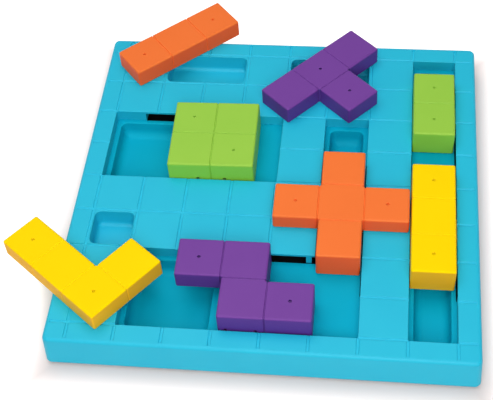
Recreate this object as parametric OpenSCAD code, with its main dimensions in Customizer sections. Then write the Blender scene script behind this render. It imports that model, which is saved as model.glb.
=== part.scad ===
// Sliding-block puzzle feeder: a hollow tray with stepped wells, five blocks
// that run in the wells on side tabs, and three loose blocks that lift off.
// Units are millimetres, +Z is up, the origin is the centre of the rest face.
// Grid places are given in cells: x from the left, y from the front.

/* [Tray] */
// pitch of the square grid on the deck
cell = 34; // [24:1:44]
// plain border round the grid
margin = 16; // [12:1:24]
// height of the deck's top surface over the floor
deck_top = 30; // [28:0.5:36]
// thickness of the deck's top skin and outer wall
skin = 2; // [2:0.25:4]
// radius of the tray's upright corners
corner_r = 4.5; // [4:0.5:20]
// width of the scored grid lines
score_w = 2.6; // [1:0.2:3]
// depth of the scored grid lines
score_d = 0.8; // [0.2:0.1:1]

/* [Wells] */
// depth of the running ledge under the deck's top
ledge_depth = 9.5; // [8.5:0.25:11]
// depth of the treat wells under the deck's top
well_depth = 22; // [20:0.5:23]
// inset of a treat well from the edge of its recess
well_inset = 4; // [3:0.5:6]
// depth of the plain pockets under the deck's top
pocket_depth = 14.5; // [12:0.5:18]
// inset of a plain pocket from its grid lines
pocket_inset = 1.8; // [1.6:0.2:6]
// radius of the wells' upright corners
well_r = 5; // [3:0.5:8]
// wall thickness of the wells, pockets and skirts
wall = 2; // [1.5:0.25:3]

/* [Blocks] */
// gap between a block's side and its grid line
side_gap = 1; // [0.5:0.1:2]
// height of the loose blocks
block_h = 15; // [12:0.5:18]
// height of the slim blocks' top over the deck
slim_top = 13; // [10:0.5:16]
// height of the wide blocks' top over the deck
wide_top = 15.5; // [12:0.5:18]
// radius of the blocks' upright corners
block_r = 1.5; // [0.5:0.25:3]
// thickness of the blocks' roof
roof = 2.5; // [2:0.25:4]
// width of the seam lines between a block's squares
seam_w = 1.25; // [0.5:0.25:2]
// depth of the seam lines
seam_d = 0.75; // [0.25:0.25:1]
// diameter of the small dimple in a block's top
dimple_d = 2.2; // [1:0.2:3]
// depth of the dimple, less than the roof
dimple_deep = 1.8; // [0.5:0.1:1.8]

/* [Runners] */
// length of a side tab along its slot
tab_l = 20; // [14:1:26]
// reach of a side tab past the edge of the recess
tab_reach = 5.5; // [4:0.5:8]
// width of the relief notch at each end of a wide block's tab
notch_w = 2.4; // [1:0.2:2.4]
// running clearance of the moving pieces
run = 0.3; // [0.3:0.05:0.6]

/* [Screws and feet] */
// shank diameter of the tapping screws
screw_d = 2.9; // [2.2:0.1:3.5]
// head diameter of the tapping screws
head_d = 5.4; // [4:0.2:6.4]
// diameter of the rubber feet
foot_d = 16; // [10:1:24]
// height of the gap under the base cover
foot_h = 2; // [1:0.5:5]

/* [Places of the blocks, in cells] */
// green square, along x
square_x = 1.5; // [0.03:0.01:1.97]
// turn of the green square in its play, in degrees
square_turn = 1; // [-1:0.1:1]
// purple step, along x
step_x = 2.1; // [1.8:0.01:3]
// orange cross, along y
cross_y = 1.69; // [1:0.01:2.86]
// yellow bar, along y
bar_y = 1.42; // [0:0.01:1.86]
// green domino, along y
domino_y = 5.25; // [4.89:0.01:6]
// how far the bar and the domino stand to the left in their play, in mm
slim_play = 0.6; // [0:0.1:0.6]

/* [Hidden] */
$fn = 48;

mid = 4;                              // the grid is 8 cells, so its middle is 4
half = mid * cell + margin;           // half the tray's side
ledge = deck_top - ledge_depth;       // top of the running ledge
well_floor = deck_top - well_depth;   // inside floor of the treat wells
pocket_floor = deck_top - pocket_depth;
skin_under = deck_top - skin;         // underside of the top skin
cover_top = foot_h + 2.5;             // top of the base cover
cover_gap = 0.5;                      // gap between the base cover and the deck
rim_h = 4;                            // height of the base cover's locating rim
seat = 0.1;                           // gap between pieces that are screwed together
tab_low = ledge + run;                // underside of the side tabs
tab_high = skin_under - 2 * run;      // top of the side tabs
plate_t = 3;                          // thickness of the runners and plates
plate_in = side_gap + wall + 0.25;    // inset of a plate from the block's grid lines
hole_r = screw_d / 2 + 0.05;          // hole that a screw is driven into
bore_r = screw_d / 2 + 0.3;           // hole that a screw passes through
sink_r = head_d / 2 + 0.3;            // recess round a screw's head
head_t = 1.6;                         // thickness of a screw's head
sink_t = head_t + seat;               // depth of the recess for a screw's head
base_screw = 14;                      // length of the screws under the tray
block_screw = 12;                     // length of the screws in slim and loose blocks
wide_screw = 14;                      // length of the screws in wide blocks
boss_r = 4;                           // outside radius of the screw bosses
pad_r = 10;                           // radius of the pads under the wells
foot_seat = 0.5;                      // depth of the feet's seats in the base cover
foot_edge = 0.8;                      // chamfer round a foot's lower edge
travel_end = 0.5;                     // play of a tab at its slot's end
drop_w = 9;                           // reach of the opening behind a slot
drop_in = 0.6;                        // reach of that opening into the recess
notch_top = deck_top + 0.8;           // top of the relief notches

// recesses, treat wells and pockets as [x0, y0, x1, y1] in cells
RECESSES = [[0, 4, 4, 6], [1, 0, 6, 2], [5, 0, 6, 6], [7, 0, 8, 8]];
WELLS = [[0, 4, 2, 6], [1, 0, 3, 2], [5, 4, 6, 6], [7, 0, 8, 2], [7, 6, 8, 8]];
POCKETS = [[1, 7, 3, 8], [4, 7, 6, 8], [0, 2, 1, 3]];

// slots as [wall along x or y, place of the wall, first and last tab centre]
SLOTS = [
    ["x", 4, 1, 3], ["x", 6, 1, 3],
    ["x", 0, 2.5, 4.5], ["x", 2, 2.5, 4.5],
    ["y", 5, 1.5, 4.5], ["y", 6, 1.5, 4.5],
    ["y", 7, 1.5, 7], ["y", 8, 1.5, 7]];

// scored lines as [direction, place, from, to], in cells; none runs along
// the edge of a recess
lo = -0.36;
hi = 8.36;
SCORES = concat(
    [["y", 0, lo, 4], ["y", 0, 6, hi], ["y", 1, lo, 0]],
    [for (i = [1:3]) ["y", i, 2, 4]],
    [for (i = [1:6]) ["y", i, 6, hi]],
    [for (i = [2:8]) ["y", i, lo, 0]],
    [["y", 4, 2, 4], ["y", 7, 8, hi], ["y", 8, 8, hi]],
    [for (j = [0:2]) ["x", j, lo, 1]],
    [["x", 3, lo, 5], ["x", 4, lo, 0], ["x", 4, 4, 5]],
    [for (j = [5:6]) ["x", j, lo, 0]],
    [for (j = [5:6]) ["x", j, 4, 5]],
    [for (j = [0:6]) ["x", j, 6, 7]],
    [for (j = [7:8]) ["x", j, lo, 7]],
    [for (j = [0:8]) ["x", j, 8, hi]]);

// places of the screws under the tray and of the feet
BASE_SCREWS = [
    [0.5, 0.5], [0.5, 3.5], [0.4, 7.5], [3.5, 7.5], [6.5, 7.5],
    [6.5, 4], [6.5, 0.5], [3, 3], [4.5, 4.5]];
foot_in = half - 15;
FEET = [[-1, -1], [1, -1], [-1, 1], [1, 1], [0, 0]];

// blocks as rectangles of cells, and the seams between their squares
SQUARE = [[0, 0, 2, 2]];
STEP_LOW = [[1, 0, 3, 1], [1, 0, 2, 2]];
STEP_ARM = [[0, 1, 1, 2]];
STEP = concat(STEP_LOW, [[0, 1, 2, 2]]);
CROSS_LOW = [[1, 0, 2, 3]];
CROSS_ARMS = [[0, 1, 1, 2], [2, 1, 3, 2]];
CROSS = concat(CROSS_LOW, [[0, 1, 3, 2]]);
BAR = [[0, 0, 1, 3]];
DOMINO = [[0, 0, 1, 2]];
STICK = [[0, 0, 3, 1]];
TEE = [[0, 0, 3, 1], [1, -1, 2, 1]];
ELL = [[0, 0, 3, 1], [2, 0, 3, 2]];
SQUARE_SEAMS = [["y", 1, 0, 2], ["x", 1, 0, 2]];
STEP_SEAMS = [["y", 1, 1, 2], ["x", 1, 1, 2], ["y", 2, 0, 1]];
CROSS_SEAMS = [["y", 1, 1, 2], ["y", 2, 1, 2], ["x", 1, 1, 2], ["x", 2, 1, 2]];
BAR_SEAMS = [["x", 1, 0, 1], ["x", 2, 0, 1]];
DOMINO_SEAMS = [["x", 1, 0, 1]];
STICK_SEAMS = [["y", 1, 0, 1], ["y", 2, 0, 1]];
TEE_SEAMS = [["y", 1, 0, 1], ["y", 2, 0, 1], ["x", 0, 1, 2]];
ELL_SEAMS = [["y", 1, 0, 1], ["y", 2, 0, 1], ["x", 1, 2, 3]];

// heights of the three kinds of block
sunk_z = ledge + 2 * run;
slim_z = deck_top + slim_top;
wide_z = deck_top + wide_top;
loose_z = deck_top + run;
arm_z = deck_top + run + 0.05;
slim_post_z = tab_low + plate_t + seat;
wide_post_z = tab_high + seat;
plate_z = loose_z + 0.2;              // underside of a loose block's plate

// places of the loose blocks: [x, y, turn in degrees]
STICK_AT = [0.44, 6.8, 40.7];
TEE_AT = [4.13, 5.76, 46.7];
ELL_AT = [-1.73, 1.66, -38.6];

GREEN = [0.46, 0.74, 0.22];
PURPLE = [0.42, 0.23, 0.58];
ORANGE = [0.95, 0.42, 0.16];
YELLOW = [0.98, 0.84, 0.02];
BLUE = [0.16, 0.68, 0.80];
CHARCOAL = [0.16, 0.17, 0.18];
STEEL = [0.6, 0.6, 0.62];
RUBBER = [0.12, 0.13, 0.14];

// --- shared shapes ---

// a rectangle from a to b with round corners, or square ones for r = 0
module patch(a, b, r = 0) {
    w = b[0] - a[0];
    h = b[1] - a[1];
    if (r > 0) {
        translate([a[0] + r, a[1]]) square([w - 2 * r, h]);
        translate([a[0], a[1] + r]) square([w, h - 2 * r]);
        for (x = [a[0] + r, b[0] - r], y = [a[1] + r, b[1] - r])
            translate([x, y]) circle(r = r);
    } else {
        translate(a) square([w, h]);
    }
}

// rectangles of cells, each drawn in by inset
module cells(list, inset, r = 0) {
    for (c = list)
        patch([c[0] * cell + inset, c[1] * cell + inset],
              [c[2] * cell - inset, c[3] * cell - inset], r);
}

// the 2D children as a slab from z0 to z1
module slab(z0, z1) {
    translate([0, 0, z0]) linear_extrude(z1 - z0) children();
}

// a box from corner a to corner b
module box(a, b) {
    translate(a) cube(b - a);
}

// moves the tray's grid so that its middle is over the origin
module grid() {
    translate([-mid * cell, -mid * cell, 0]) children();
}

// moves and turns a block's own grid to its place on the tray
module place(x, y, turn = 0) {
    translate([(x - mid) * cell, (y - mid) * cell, 0])
        rotate([0, 0, turn]) children();
}

// the green square's place, turned a little about its middle
module square_place() {
    place(square_x + 1, 5, square_turn) translate([-cell, -cell, 0]) children();
}

// the column of the slim blocks on the right
module slim_place(y) {
    place(7 - slim_play / cell, y) children();
}

// a tapping screw with its head's underside face at z = low
module screw(low, length) {
    difference() {
        union() {
            translate([0, 0, low]) cylinder(r = head_d / 2, h = head_t);
            translate([0, 0, low]) cylinder(d = screw_d, h = length);
        }
        for (a = [0, 90])
            rotate([0, 0, a])
                box([-1.6, -0.35, low - 1], [1.6, 0.35, low + 0.8]);
    }
}

// --- tray ---

module deck() {
    color(BLUE)
    grid() difference() {
        union() {
            deck_shell();
            slab(ledge + seat, skin_under + 0.5) cells(RECESSES, -wall);
            slab(pocket_floor - wall, skin_under + 0.5)
                cells(POCKETS, pocket_inset - wall, well_r + wall);
            for (s = BASE_SCREWS)
                translate([s[0] * cell, s[1] * cell, cover_top + cover_gap])
                    cylinder(r = boss_r, h = skin_under - cover_top);
        }
        slab(ledge - 1, deck_top + 1) cells(RECESSES, 0);
        slab(pocket_floor, deck_top + 1)
            cells(POCKETS, pocket_inset, well_r);
        for (s = SLOTS) slot(s);
        for (s = SCORES) score(s);
        for (s = BASE_SCREWS)
            translate([s[0] * cell, s[1] * cell, 0])
                cylinder(r = hole_r, h = cover_top + base_screw);
    }
}

module deck_shell() {
    m = mid * cell;
    difference() {
        slab(foot_h, deck_top)
            patch([m - half, m - half], [m + half, m + half], corner_r);
        slab(0, skin_under)
            patch([m - half + skin, m - half + skin],
                  [m + half - skin, m + half - skin], corner_r - skin);
    }
}

// the opening that one side tab runs in
module slot(s) {
    a = s[2] * cell - tab_l / 2 - travel_end;
    b = s[3] * cell + tab_l / 2 + travel_end;
    w = s[1] * cell;
    t = wall + 0.5;
    if (s[0] == "x") box([a, w - t, ledge - 1], [b, w + t, skin_under]);
    else box([w - t, a, ledge - 1], [w + t, b, skin_under]);
}

module score(s) {
    a = s[2] * cell;
    b = s[3] * cell;
    w = s[1] * cell;
    h = score_w / 2;
    z = deck_top - score_d;
    if (s[0] == "x") box([a, w - h, z], [b, w + h, deck_top + 1]);
    else box([w - h, a, z], [w + h, b, deck_top + 1]);
}

module wells() {
    m = mid * cell;
    e = half - skin - 0.5;
    color(BLUE)
    grid() difference() {
        union() {
            difference() {
                slab(ledge - wall, ledge)
                    patch([m - e, m - e], [m + e, m + e], corner_r - skin);
                slab(ledge - wall - 1, ledge + 1)
                    cells(POCKETS, pocket_inset - wall - 0.5, well_r + wall);
                for (s = BASE_SCREWS)
                    translate([s[0] * cell, s[1] * cell, ledge - wall - 1])
                        cylinder(r = boss_r + 0.5, h = wall + 2);
            }
            slab(well_floor - wall, ledge - 0.5)
                cells(WELLS, well_inset - wall, well_r + wall);
        }
        slab(well_floor, ledge + 1) cells(WELLS, well_inset, well_r);
        drops();
    }
}

// openings in the ledge's plate at the slots
module drops() {
    difference() {
        for (s = SLOTS) {
            a = s[2] * cell - tab_l / 2 - travel_end;
            b = s[3] * cell + tab_l / 2 + travel_end;
            w = s[1] * cell;
            if (s[0] == "x") box([a, w - drop_w, ledge - wall - 1], [b, w + drop_w, ledge + 1]);
            else box([w - drop_w, a, ledge - wall - 1], [w + drop_w, b, ledge + 1]);
        }
        slab(ledge - wall - 2, ledge + 2) cells(RECESSES, drop_in);
    }
}

module base_cover() {
    m = mid * cell;
    e = half - skin - cover_gap;
    i = e - wall;
    color(CHARCOAL)
    grid() difference() {
        union() {
            difference() {
                slab(foot_h, cover_top + rim_h)
                    patch([m - e, m - e], [m + e, m + e], corner_r - skin);
                slab(cover_top, cover_top + rim_h + 1)
                    patch([m - i, m - i], [m + i, m + i], corner_r - skin - wall);
            }
            for (w = WELLS)
                translate([(w[0] + w[2]) / 2 * cell, (w[1] + w[3]) / 2 * cell, foot_h + 1])
                    cylinder(r = pad_r, h = well_floor - wall - seat - foot_h - 1);
        }
        for (s = BASE_SCREWS)
            translate([s[0] * cell, s[1] * cell, foot_h - 1]) {
                cylinder(r = bore_r, h = 8);
                cylinder(r = sink_r, h = sink_t + 1);
            }
        for (f = FEET)
            translate([m + f[0] * foot_in, m + f[1] * foot_in, foot_h - 1])
                cylinder(d = foot_d + 0.4, h = foot_seat + 1);
    }
}

module base_screws() {
    color(STEEL)
    grid() for (s = BASE_SCREWS)
        translate([s[0] * cell, s[1] * cell, 0]) screw(foot_h + seat, base_screw);
}

module foot(i) {
    color(RUBBER)
    translate([FEET[i][0] * foot_in, FEET[i][1] * foot_in, 0]) {
        cylinder(d1 = foot_d - 2 * foot_edge, d2 = foot_d, h = foot_edge);
        translate([0, 0, foot_edge]) cylinder(d = foot_d, h = foot_h + foot_seat - foot_edge);
    }
}

// --- blocks ---

// seam lines: thin slabs at the joins, less the block drawn in by their depth
module seams(list, bars, z0, z1) {
    difference() {
        for (s = list) {
            a = s[2] * cell;
            b = s[3] * cell;
            w = s[1] * cell;
            if (s[0] == "x") box([a, w - seam_w / 2, z0 - 1], [b, w + seam_w / 2, z1 + 1]);
            else box([w - seam_w / 2, a, z0 - 1], [w + seam_w / 2, b, z1 + 1]);
        }
        slab(z0 - 2, z1 - seam_d) cells(bars, side_gap + seam_d, 0);
    }
}

// hollow block from z0 to z1, open below, with screw bosses at points in cells
module hollow(bars, z0, z1, posts, post_z) {
    difference() {
        slab(z0, z1) cells(bars, side_gap, block_r);
        slab(z0 - 1, z1 - roof) cells(bars, side_gap + wall, 0);
    }
    for (p = posts)
        translate([p[0] * cell, p[1] * cell, post_z])
            cylinder(r = boss_r, h = z1 - roof + 0.5 - post_z);
}

// seams, dimples and driven holes, taken out of a finished block
module marks(bars, joins, z0, z1, dots, posts, post_z) {
    seams(joins, bars, z0, z1);
    for (d = dots)
        translate([d[0] * cell, d[1] * cell, z1 - dimple_deep])
            cylinder(d = dimple_d, h = roof);
    for (p = posts)
        translate([p[0] * cell, p[1] * cell, post_z - 1])
            cylinder(r = hole_r, h = block_screw);
}

// two screws up into a block, heads recessed in the runner or plate at low
module block_screws(posts, low, length = block_screw) {
    color(STEEL)
    for (p = posts)
        translate([p[0] * cell, p[1] * cell, 0]) screw(low + seat, length);
}

// recesses for the screws' heads and their clearance holes
module sinks(posts, low, deep = plate_t) {
    for (p = posts)
        translate([p[0] * cell, p[1] * cell, low - 1]) {
            cylinder(r = sink_r, h = sink_t + 1);
            cylinder(r = bore_r, h = deep + 2);
        }
}

// runner of a wide block: a plate that closes it, and a beam across the
// recess with a tab at each end; x is the beam's middle
module wide_runner(x, bars, posts) {
    l = 2 * cell;
    a = x * cell - tab_l / 2;
    b = x * cell + tab_l / 2;
    difference() {
        union() {
            slab(tab_low, tab_low + plate_t) cells(bars, plate_in, 0);
            box([a, -tab_reach, tab_low], [b, l + tab_reach, tab_high]);
        }
        box([a + wall, posts[0][1] * cell + 2 * boss_r, tab_low - 1],
            [b - wall, posts[1][1] * cell - 2 * boss_r, tab_high - wall]);
        sinks(posts, tab_low, tab_high - tab_low);
    }
}

// runner of a slim block: a plate inside it with a tab out of each long side
module slim_runner(n, posts) {
    e = plate_in;
    m = n / 2 * cell;
    difference() {
        union() {
            box([e, e, tab_low], [cell - e, n * cell - e, tab_low + plate_t]);
            box([-tab_reach, m - tab_l / 2, tab_low],
                [cell + tab_reach, m + tab_l / 2, tab_high]);
        }
        box([e + wall, m - tab_l / 2 + wall, tab_low - 1],
            [cell - e - wall, m + tab_l / 2 - wall, tab_high - wall]);
        sinks(posts, tab_low);
    }
}

// openings in a slim block's long sides for the tabs
module slim_gaps(n) {
    m = n / 2 * cell;
    box([-1, m - tab_l / 2 - run, sunk_z - 1],
        [cell + 1, m + tab_l / 2 + run, tab_high + run]);
}

// openings in a wide block's front and back for the tabs, with a relief
// notch at each end; x is the tabs' middle
module wide_gaps(x) {
    h = tab_l / 2 + run;
    for (y = [side_gap - 1, 2 * cell - side_gap - wall - 1]) {
        box([x * cell - h, y, sunk_z - 1], [x * cell + h, y + wall + 2, tab_high + run]);
        for (s = [-1, 1])
            box([x * cell + s * h - notch_w / 2, y, sunk_z - 1],
                [x * cell + s * h + notch_w / 2, y + wall + 2, notch_top]);
    }
}

// plate that closes a loose block, flush inside its walls
module loose_plate(bars, posts) {
    difference() {
        slab(plate_z, plate_z + plate_t) cells(bars, plate_in, 0);
        sinks(posts, plate_z);
    }
}

module loose_cap(bars, joins, dots, posts) {
    z1 = loose_z + block_h;
    post_z = plate_z + plate_t + seat;
    difference() {
        hollow(bars, loose_z, z1, posts, post_z);
        marks(bars, joins, loose_z, z1, dots, posts, post_z);
    }
}

module slim_cap(bars, n, joins, dots, posts) {
    difference() {
        hollow(bars, sunk_z, slim_z, posts, slim_post_z);
        marks(bars, joins, sunk_z, slim_z, dots, posts, slim_post_z);
        slim_gaps(n);
    }
}

// a block whose arms pass over the deck: low is the part in the recess
module armed_cap(all, low, arms, z1, joins, dots, posts, post_z) {
    difference() {
        union() {
            difference() {
                union() {
                    slab(sunk_z, z1) cells(low, side_gap, block_r);
                    slab(arm_z, z1) cells(all, side_gap, block_r);
                }
                slab(sunk_z - 1, z1 - roof) cells(low, side_gap + wall, 0);
                slab(arm_z - 1, z1 - roof) cells(arms, side_gap + wall, 0);
            }
            for (p = posts)
                translate([p[0] * cell, p[1] * cell, post_z])
                    cylinder(r = boss_r, h = z1 - roof + 0.5 - post_z);
        }
        marks(all, joins, sunk_z, z1, dots, posts, post_z);
    }
}

SQUARE_DOTS = [[0.5, 1.5], [1.5, 0.5]];
SQUARE_POSTS = [[1, 0.35], [1, 1.65]];
module green_square_cap() {
    color(GREEN) square_place() difference() {
        hollow(SQUARE, sunk_z, wide_z, SQUARE_POSTS, wide_post_z);
        marks(SQUARE, SQUARE_SEAMS, sunk_z, wide_z, SQUARE_DOTS, SQUARE_POSTS, wide_post_z);
        wide_gaps(1);
    }
}
module green_square_runner() {
    color(GREEN) square_place() wide_runner(1, SQUARE, SQUARE_POSTS);
}
module green_square_screws() {
    square_place() block_screws(SQUARE_POSTS, tab_low, wide_screw);
}

STEP_DOTS = [[0.5, 1.5], [2.5, 0.5]];
STEP_POSTS = [[1.5, 0.35], [1.5, 1.65]];
module purple_step_cap() {
    color(PURPLE) place(step_x, 0) difference() {
        armed_cap(STEP, STEP_LOW, STEP_ARM, wide_z, STEP_SEAMS, STEP_DOTS, STEP_POSTS,
                  wide_post_z);
        wide_gaps(1.5);
    }
}
module purple_step_runner() {
    color(PURPLE) place(step_x, 0) wide_runner(1.5, STEP_LOW, STEP_POSTS);
}
module purple_step_screws() {
    place(step_x, 0) block_screws(STEP_POSTS, tab_low, wide_screw);
}

CROSS_DOTS = [[0.5, 1.5], [2.5, 1.5]];
CROSS_POSTS = [[1.5, 0.5], [1.5, 2.5]];
STEM_POSTS = [[0.5, 0.5], [0.5, 2.5]];
module orange_cross_cap() {
    color(ORANGE) place(4, cross_y) difference() {
        armed_cap(CROSS, CROSS_LOW, CROSS_ARMS, slim_z, CROSS_SEAMS, CROSS_DOTS,
                  CROSS_POSTS, slim_post_z);
        translate([cell, 0, 0]) slim_gaps(3);
    }
}
module orange_cross_runner() {
    color(ORANGE) place(5, cross_y) slim_runner(3, STEM_POSTS);
}
module orange_cross_screws() {
    place(5, cross_y) block_screws(STEM_POSTS, tab_low);
}

BAR_DOTS = [[0.5, 0.5], [0.5, 2.5]];
BAR_POSTS = [[0.5, 0.6], [0.5, 2.4]];
module yellow_bar_cap() {
    color(YELLOW) slim_place(bar_y) slim_cap(BAR, 3, BAR_SEAMS, BAR_DOTS, BAR_POSTS);
}
module yellow_bar_runner() {
    color(YELLOW) slim_place(bar_y) slim_runner(3, BAR_POSTS);
}
module yellow_bar_screws() {
    slim_place(bar_y) block_screws(BAR_POSTS, tab_low);
}

DOMINO_DOTS = [[0.5, 0.5], [0.5, 1.5]];
DOMINO_POSTS = [[0.5, 0.35], [0.5, 1.65]];
module green_domino_cap() {
    color(GREEN) slim_place(domino_y)
        slim_cap(DOMINO, 2, DOMINO_SEAMS, DOMINO_DOTS, DOMINO_POSTS);
}
module green_domino_runner() {
    color(GREEN) slim_place(domino_y) slim_runner(2, DOMINO_POSTS);
}
module green_domino_screws() {
    slim_place(domino_y) block_screws(DOMINO_POSTS, tab_low);
}

STICK_DOTS = [[0.5, 0.5], [2.5, 0.5]];
STICK_POSTS = [[0.75, 0.5], [2.25, 0.5]];
module orange_stick_cap() {
    color(ORANGE) place(STICK_AT[0], STICK_AT[1], STICK_AT[2])
        loose_cap(STICK, STICK_SEAMS, STICK_DOTS, STICK_POSTS);
}
module orange_stick_plate() {
    color(ORANGE) place(STICK_AT[0], STICK_AT[1], STICK_AT[2])
        loose_plate(STICK, STICK_POSTS);
}
module orange_stick_screws() {
    place(STICK_AT[0], STICK_AT[1], STICK_AT[2])
        block_screws(STICK_POSTS, plate_z);
}

TEE_DOTS = [[1.5, 0.5], [1.5, -0.5]];
TEE_POSTS = [[0.75, 0.5], [2.25, 0.5]];
module purple_tee_cap() {
    color(PURPLE) place(TEE_AT[0], TEE_AT[1], TEE_AT[2])
        loose_cap(TEE, TEE_SEAMS, TEE_DOTS, TEE_POSTS);
}
module purple_tee_plate() {
    color(PURPLE) place(TEE_AT[0], TEE_AT[1], TEE_AT[2])
        loose_plate(TEE, TEE_POSTS);
}
module purple_tee_screws() {
    place(TEE_AT[0], TEE_AT[1], TEE_AT[2])
        block_screws(TEE_POSTS, plate_z);
}

ELL_DOTS = [[0.5, 0.5], [2.5, 0.5]];
ELL_POSTS = [[0.75, 0.5], [2.5, 1.25]];
module yellow_ell_cap() {
    color(YELLOW) place(ELL_AT[0], ELL_AT[1], ELL_AT[2])
        loose_cap(ELL, ELL_SEAMS, ELL_DOTS, ELL_POSTS);
}
module yellow_ell_plate() {
    color(YELLOW) place(ELL_AT[0], ELL_AT[1], ELL_AT[2])
        loose_plate(ELL, ELL_POSTS);
}
module yellow_ell_screws() {
    place(ELL_AT[0], ELL_AT[1], ELL_AT[2])
        block_screws(ELL_POSTS, plate_z);
}

deck();
wells();
base_cover();
base_screws();
foot(0);  // foot_front_left
foot(1);  // foot_front_right
foot(2);  // foot_back_left
foot(3);  // foot_back_right
foot(4);  // foot_centre
green_square_cap();
green_square_runner();
green_square_screws();
purple_step_cap();
purple_step_runner();
purple_step_screws();
orange_cross_cap();
orange_cross_runner();
orange_cross_screws();
yellow_bar_cap();
yellow_bar_runner();
yellow_bar_screws();
green_domino_cap();
green_domino_runner();
green_domino_screws();
orange_stick_cap();
orange_stick_plate();
orange_stick_screws();
purple_tee_cap();
purple_tee_plate();
purple_tee_screws();
yellow_ell_cap();
yellow_ell_plate();
yellow_ell_screws();
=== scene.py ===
"""Looks of a sliding-block puzzle feeder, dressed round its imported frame.

Shapes are worked out in millimetres in the frame's own axes and turned into
metres when they become pieces. Places on the grid are given in squares,
counted from the grid's front left corner.
"""

import logging
import math
from dataclasses import dataclass, field
from enum import Enum
from typing import Iterable, Sequence

import bmesh
import bpy
from mathutils import Matrix, Vector


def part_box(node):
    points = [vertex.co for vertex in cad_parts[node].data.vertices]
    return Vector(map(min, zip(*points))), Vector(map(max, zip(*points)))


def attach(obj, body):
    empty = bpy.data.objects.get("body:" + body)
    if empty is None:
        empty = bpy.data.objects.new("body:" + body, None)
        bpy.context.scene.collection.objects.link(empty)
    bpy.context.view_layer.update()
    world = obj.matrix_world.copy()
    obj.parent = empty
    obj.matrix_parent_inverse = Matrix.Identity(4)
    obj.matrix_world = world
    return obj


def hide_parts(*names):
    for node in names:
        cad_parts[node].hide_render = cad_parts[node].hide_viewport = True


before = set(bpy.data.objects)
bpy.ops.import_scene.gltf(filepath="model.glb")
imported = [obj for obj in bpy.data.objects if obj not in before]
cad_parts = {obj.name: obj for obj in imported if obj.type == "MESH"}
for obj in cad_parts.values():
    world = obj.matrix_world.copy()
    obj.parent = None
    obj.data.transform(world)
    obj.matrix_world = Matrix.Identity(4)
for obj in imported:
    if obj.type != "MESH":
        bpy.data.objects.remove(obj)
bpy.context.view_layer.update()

log = logging.getLogger("feeder")

Point = tuple[float, float]
Place = tuple[float, float, float]
Square = tuple[int, int]
Colour = tuple[float, float, float]

MM = 0.001
PITCH = 34.0
SQUARES = 8
MIDDLE = SQUARES / 2
SMALLEST_RADIUS = 0.1
SHARP_ANGLE = math.radians(34)
FLAT_WEIGHT = 80
WELD_GAP = 0.001

# Steps of a round corner, a round edge, a hollow's inner edge and an edge at the foot.
ARC_STEPS = 5
ROUND_STEPS = 4
INNER_STEPS = 3
FOOT_STEPS = 2

# Sides of a turned body: the rubber feet, the bosses, and the small holes and dimples.
FOOT_SIDES = 56
TURN_SIDES = 40
HOLE_SIDES = 24

# Sockets of a mix node that take its two colours, and the one that gives their mixture.
MIX_INPUTS = (6, 7)
MIX_OUTPUT = 2

# How far a cut reaches past the surface it opens, and an added part into what it joins.
PAST = 1.0
OVERLAP = 0.5

# Side of a scored line: distance out from its edge in mm, and share of its depth.
GROOVE_SIDE = ((0.15, 0.0), (0.0, 0.05), (-0.12, 0.2), (-0.4, 0.8), (-0.55, 0.96), (-0.7, 1.0))

# Section of a dimple: share of its radius, and height over the block's top in mm.
DIMPLE = ((0.2, -1.8), (0.85, -1.6), (0.95, -0.3), (1.0, -0.12), (1.2, 0.02), (1.2, PAST))

# Underside of a rubber foot: distance in from its side, and height over its sole.
FOOT_EDGE = ((3.4, 0.5), (2.6, 0.1), (2.0, 0.0), (1.2, 0.0), (0.5, 0.15), (0.1, 0.55), (0.0, 0.9))


def grid(place: float) -> float:
    """Distance from the tray's middle, in mm, of a place counted in squares."""
    return (place - MIDDLE) * PITCH


# --- outlines and sections ---


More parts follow.
